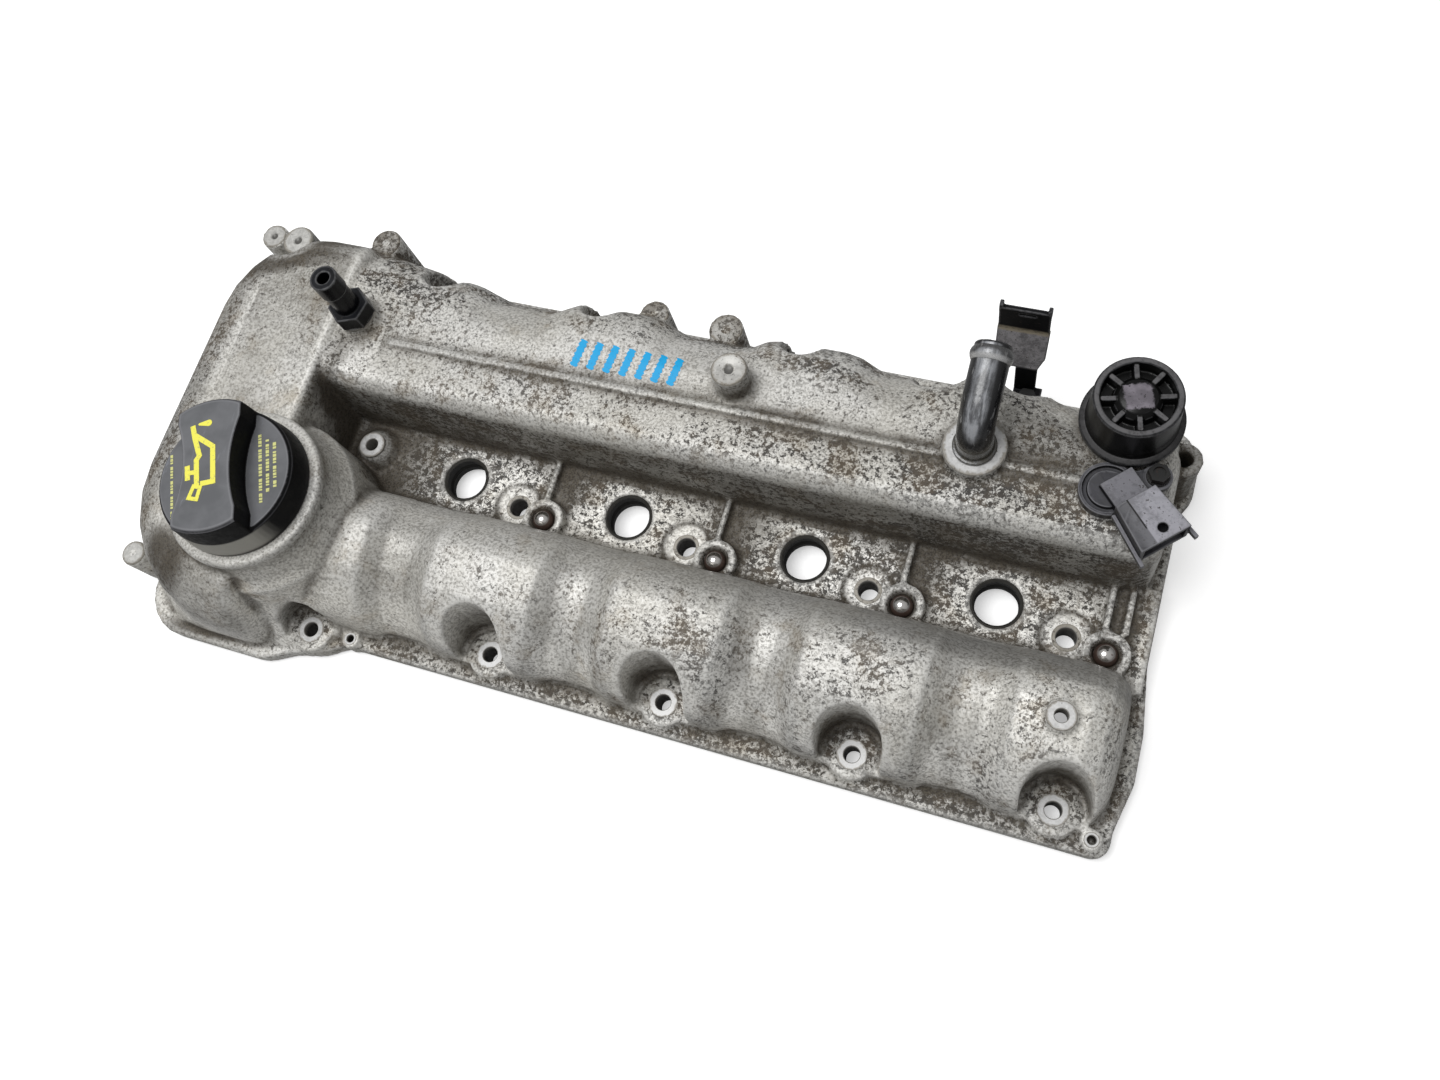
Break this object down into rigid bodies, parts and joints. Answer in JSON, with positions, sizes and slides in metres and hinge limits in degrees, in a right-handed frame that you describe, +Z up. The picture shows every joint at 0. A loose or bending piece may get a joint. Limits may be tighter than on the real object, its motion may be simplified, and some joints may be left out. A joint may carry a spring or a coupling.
{
  "type": "engine valve cover",
  "caption": "Cast aluminium camshaft cover with scalloped humps, injector passages, timing chamber, screw-on oil filler cap, breather pipe, vent valve and position sensor.",
  "frame": {"origin": "on the sealing plane of the flange, midway between the two middle injector passages", "axes": "+X along the row of injector passages, away from the timing end; +Y towards the breather side; +Z up, away from the cylinder head"},
  "size_m": [0.475, 0.213, 0.098],
  "materials": {
    "casting": "cast, oxidised",
    "rubber": "matt",
    "steel_sheet": "plain",
    "steel": "plain",
    "polished_steel": "polished",
    "cap_plastic": "satin",
    "black_steel": "worn black paint",
    "copper": "dull",
    "black_plastic": "matt, dusty",
    "grey_plastic": "matt",
    "dark_steel": "phosphated",
    "tin": "plated"
  },
  "bodies": {
    "cover": {"casting_timing_end": "casting", "casting_neck": "casting", "casting_front": "casting", "casting_valley": "casting", "casting_rear_left": "casting", "casting_rear_right": "casting", "cover_gasket": "rubber", "oil_baffle": "steel_sheet", "baffle_screws": "steel", "injector_seal_1": "rubber", "injector_seal_2": "rubber", "injector_seal_3": "rubber", "injector_seal_4": "rubber", "ball_plug_1": "polished_steel", "ball_plug_2": "polished_steel", "ball_plug_3": "polished_steel", "ball_plug_4": "polished_steel", "breather_pipe": "black_steel", "hose_nipple": "black_steel", "nipple_washer": "copper", "vent_valve_body": "black_plastic", "vent_valve_cap": "black_plastic", "vent_valve_diaphragm": "rubber", "vent_valve_spring": "steel", "vent_valve_seal": "rubber", "cam_sensor_body": "grey_plastic", "cam_sensor_seal": "rubber", "cam_sensor_bush": "steel", "cam_sensor_bolt": "dark_steel", "cam_sensor_pins": "tin", "harness_bracket": "black_steel", "bracket_bolt": "dark_steel"},
    "cap_seal": {"filler_cap_seal": "rubber"},
    "cap": {"filler_cap": "cap_plastic"}
  },
  "joints": [
    {"name": "cap_rise", "type": "slide", "parent": "cover", "child": "cap_seal", "axis": [0, 0, 1], "range_m": [0, 0.0076]},
    {"name": "cap_turn", "type": "hinge", "parent": "cap_seal", "child": "cap", "pos_m": [-0.1945, -0.0436, 0.072], "axis": [0, 0, 1], "range_deg": [0, 450]}
  ],
  "couplings": [
    {"joint": "cap_rise", "follows": "cap_turn", "m_per_rad": 0.00095493}
  ]
}
